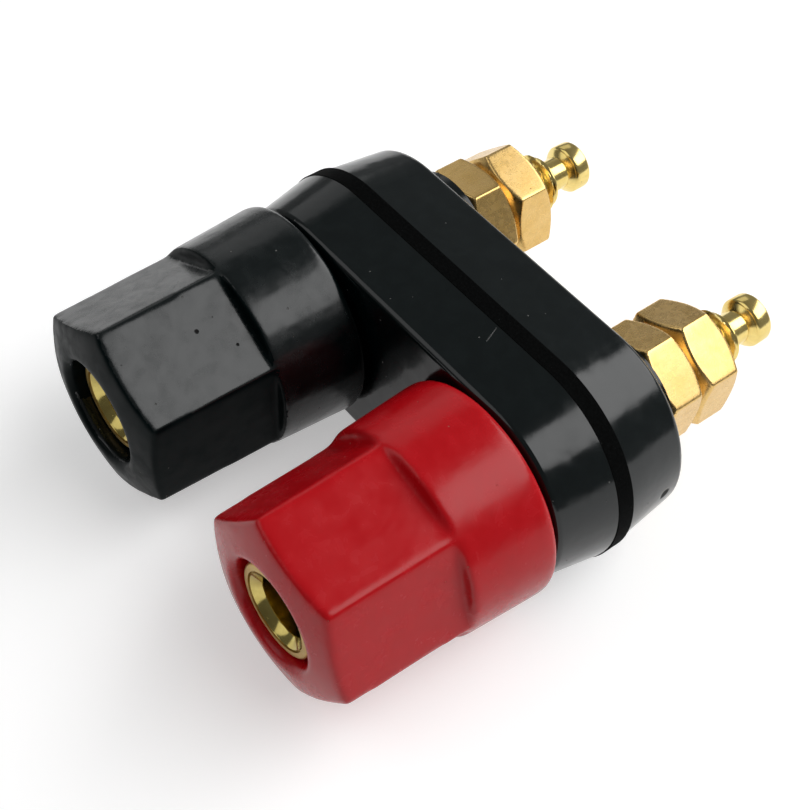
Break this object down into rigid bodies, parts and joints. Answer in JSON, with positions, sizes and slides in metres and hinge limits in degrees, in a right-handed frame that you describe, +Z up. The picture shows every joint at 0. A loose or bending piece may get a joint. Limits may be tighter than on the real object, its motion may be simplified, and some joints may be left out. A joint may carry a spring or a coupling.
{
  "type": "binding post pair",
  "caption": "Black and red screw knobs on brass banana sockets in one long round-ended plate pair with a gasket, rear studs, hex nuts and solder heads.",
  "frame": {"origin": "midway between the two post axes, on the front plate's face against the gasket", "axes": "+X from the black post to the red post, -Y out of the front of the panel along the sockets, +Z up"},
  "size_m": [0.0346, 0.0415, 0.0156],
  "materials": {
    "black_plate": "glossy black moulded plastic",
    "gasket": "matte black rubber sheet",
    "black_grip": "glossy black moulded plastic",
    "red_grip": "glossy red moulded plastic",
    "brass": "turned, gold coloured plating",
    "nut_brass": "satin, gold coloured plating"
  },
  "bodies": {
    "base": {"front_plate": "black_plate", "panel_gasket": "gasket", "rear_plate": "black_plate", "black_post": "brass", "red_post": "brass", "black_inner_nut": "nut_brass", "black_outer_nut": "nut_brass", "red_inner_nut": "nut_brass", "red_outer_nut": "nut_brass"},
    "black_carrier": {"black_knob_insert": "brass"},
    "black_grip": {"black_knob": "black_grip"},
    "red_carrier": {"red_knob_insert": "brass"},
    "red_grip": {"red_knob": "red_grip"}
  },
  "joints": [
    {"name": "black_knob_travel", "type": "slide", "parent": "base", "child": "black_carrier", "axis": [0, -1, 0], "range_m": [-0.0003, 0.006]},
    {"name": "black_knob_turn", "type": "hinge", "parent": "black_carrier", "child": "black_grip", "pos_m": [-0.00953, -0.012, 0], "axis": [0, -1, 0], "range_deg": [-108, 2160]},
    {"name": "red_knob_travel", "type": "slide", "parent": "base", "child": "red_carrier", "axis": [0, -1, 0], "range_m": [0, 0.006]},
    {"name": "red_knob_turn", "type": "hinge", "parent": "red_carrier", "child": "red_grip", "pos_m": [0.00953, -0.012, 0], "axis": [0, -1, 0], "range_deg": [0, 2160]}
  ],
  "couplings": [
    {"joint": "black_knob_turn", "follows": "black_knob_travel", "rad_per_m": 6283},
    {"joint": "red_knob_turn", "follows": "red_knob_travel", "rad_per_m": 6283}
  ]
}
